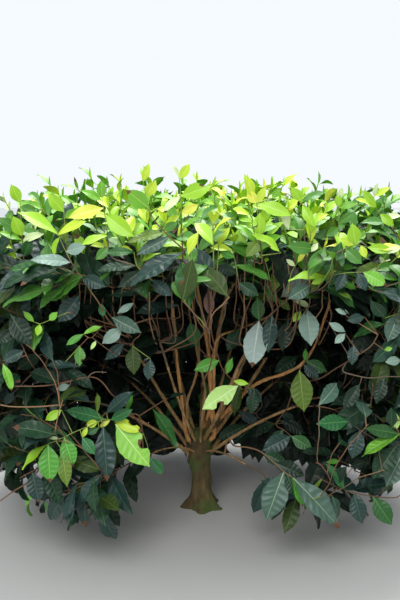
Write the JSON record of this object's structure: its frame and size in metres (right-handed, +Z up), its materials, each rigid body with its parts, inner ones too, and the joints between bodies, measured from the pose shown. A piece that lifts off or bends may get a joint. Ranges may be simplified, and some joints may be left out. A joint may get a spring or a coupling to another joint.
{
  "type": "tea bush",
  "caption": "Plucked tea bush: a short knobbly trunk with a flared foot, stems fanning out of its head, and masses of twigs and leaves under a flat top of young shoots.",
  "frame": {"origin": "in the flat cut under the trunk at ground level, on the trunk's own foot", "axes": "+Z up, +X to the right and +Y away from someone who looks at the bush's open front"},
  "size_m": [1.2506, 1.1044, 0.8697],
  "materials": {
    "bark": "grey-brown bark with olive moss stains and fine cracks, matt",
    "stems": "smooth reddish-brown to grey-brown stem bark with small knobs, matt",
    "young_leaves": "young yellow-green leaves, thin and soft, slightly glossy",
    "mature_leaves": "mature dark blue-green leaves, leathery, glossy, with sunk side veins",
    "bright_leaves": "full-grown fresh green leaves, glossy"
  },
  "bodies": {
    "root": {"trunk": "bark", "bough_crest": "stems", "bough_table_front_left": "stems", "bough_table_front_right": "stems", "bough_table_right": "stems", "bough_table_back_right": "stems", "bough_table_back_left": "stems", "bough_table_left": "stems", "bough_skirt_left": "stems", "bough_skirt_right": "stems", "bough_skirt_back_right": "stems", "bough_skirt_back": "stems", "bough_skirt_back_left": "stems", "bough_low_left": "stems", "bough_low_right": "stems", "bough_hanging_front": "stems", "leaves_crest": "young_leaves", "leaves_table_front_left": "young_leaves", "leaves_table_front_right": "young_leaves", "leaves_table_right": "young_leaves", "leaves_table_back_right": "young_leaves", "leaves_table_back_left": "young_leaves", "leaves_table_left": "young_leaves", "leaves_skirt_left": "mature_leaves", "leaves_skirt_right": "mature_leaves", "leaves_skirt_back_right": "mature_leaves", "leaves_skirt_back": "mature_leaves", "leaves_skirt_back_left": "mature_leaves", "leaves_low_left": "bright_leaves", "leaves_low_right": "mature_leaves", "leaves_hanging_front": "mature_leaves"}
  },
  "joints": []
}
